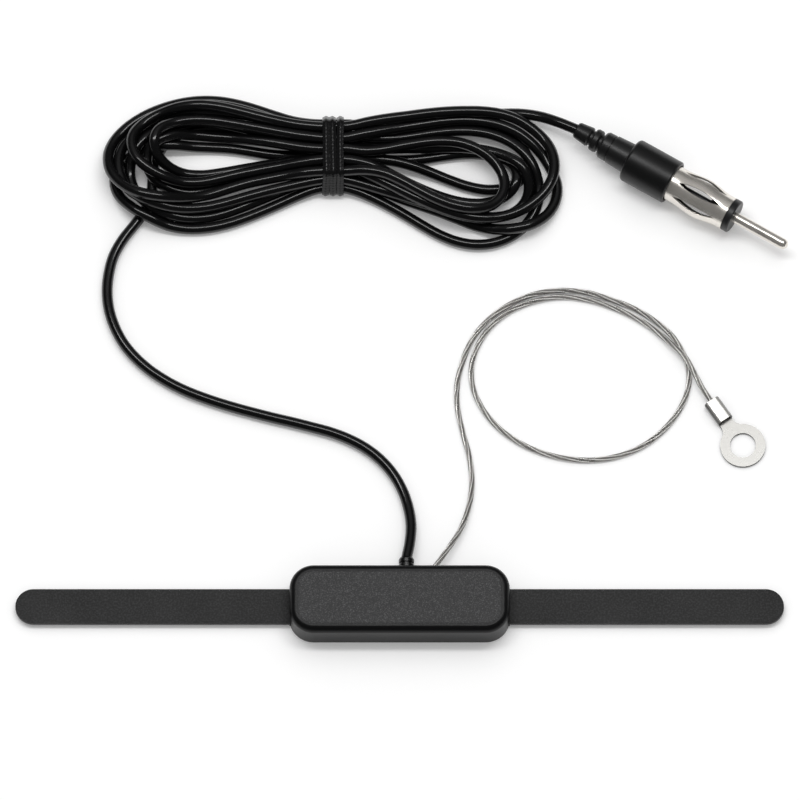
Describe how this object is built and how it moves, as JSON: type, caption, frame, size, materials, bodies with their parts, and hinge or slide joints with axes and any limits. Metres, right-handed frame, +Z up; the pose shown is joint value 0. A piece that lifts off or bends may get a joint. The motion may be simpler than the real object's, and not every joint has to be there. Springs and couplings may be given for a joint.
{
  "type": "hidden car antenna",
  "caption": "Stick-on hidden car radio antenna: amplifier box between two flat strips, tied coaxial lead with an aerial plug, and an earth wire with a ring terminal.",
  "frame": {"origin": "middle of the amplifier box, on the surface that the adhesive tapes stick to", "axes": "+X along the strips, +Y from the box towards its cables, +Z up from the surface through the box"},
  "size_m": [0.2146, 0.1613, 0.0126],
  "materials": {
    "cover_plastic": "fine-textured moulded plastic top with a smooth rounded edge",
    "base_plastic": "smooth moulded plastic",
    "foam_tape": "dull closed-cell foam tape",
    "strip_vinyl": "matt vinyl with a fine grain",
    "foil": "plain rolled foil",
    "eyelet_brass": "plain turned brass",
    "board_laminate": "green solder resist",
    "component_resin": "moulded resin",
    "winding_copper": "enamelled copper winding",
    "can_sleeve": "shrink sleeve",
    "ceramic": "dipped ceramic",
    "resistor_lacquer": "lacquer",
    "tinned_sheet": "bright tin plate",
    "tinned_strands": "twisted tinned copper strands",
    "cable_jacket": "glossy black vinyl",
    "grommet_vinyl": "soft black vinyl",
    "tie_vinyl": "black vinyl over a wire core",
    "boot_vinyl": "satin black soft vinyl",
    "sleeve_plastic": "satin black moulded plastic",
    "nickel": "bright nickel plate",
    "insulator_plastic": "black moulded plastic"
  },
  "bodies": {
    "root": {"housing_cover": "cover_plastic", "housing_base": "base_plastic", "housing_tape": "foam_tape", "strip_left": "strip_vinyl", "strip_right": "strip_vinyl", "foil_left": "foil", "foil_right": "foil", "strip_foam_left": "foam_tape", "strip_foam_right": "foam_tape", "eyelet_left": "eyelet_brass", "eyelet_right": "eyelet_brass", "circuit_board": "board_laminate", "amplifier_transistor": "component_resin", "choke_coil": "winding_copper", "supply_capacitor": "can_sleeve", "input_capacitor": "ceramic", "output_capacitor": "ceramic", "bias_resistor": "resistor_lacquer", "feed_resistor": "resistor_lacquer", "cable_clamp": "tinned_sheet", "coax_entry": "cable_jacket", "wire_entry": "tinned_strands", "cable_grommet": "grommet_vinyl", "coax_lead": "cable_jacket", "coax_hank": "cable_jacket", "hank_tie": "tie_vinyl", "coax_tail": "cable_jacket", "plug_boot": "boot_vinyl", "plug_sleeve": "sleeve_plastic", "plug_barrel": "nickel", "plug_insulator": "insulator_plastic", "plug_pin": "nickel", "plug_cable_end": "cable_jacket", "earth_wire": "tinned_strands", "ring_terminal": "tinned_sheet", "crimped_strands": "tinned_strands"}
  },
  "joints": []
}
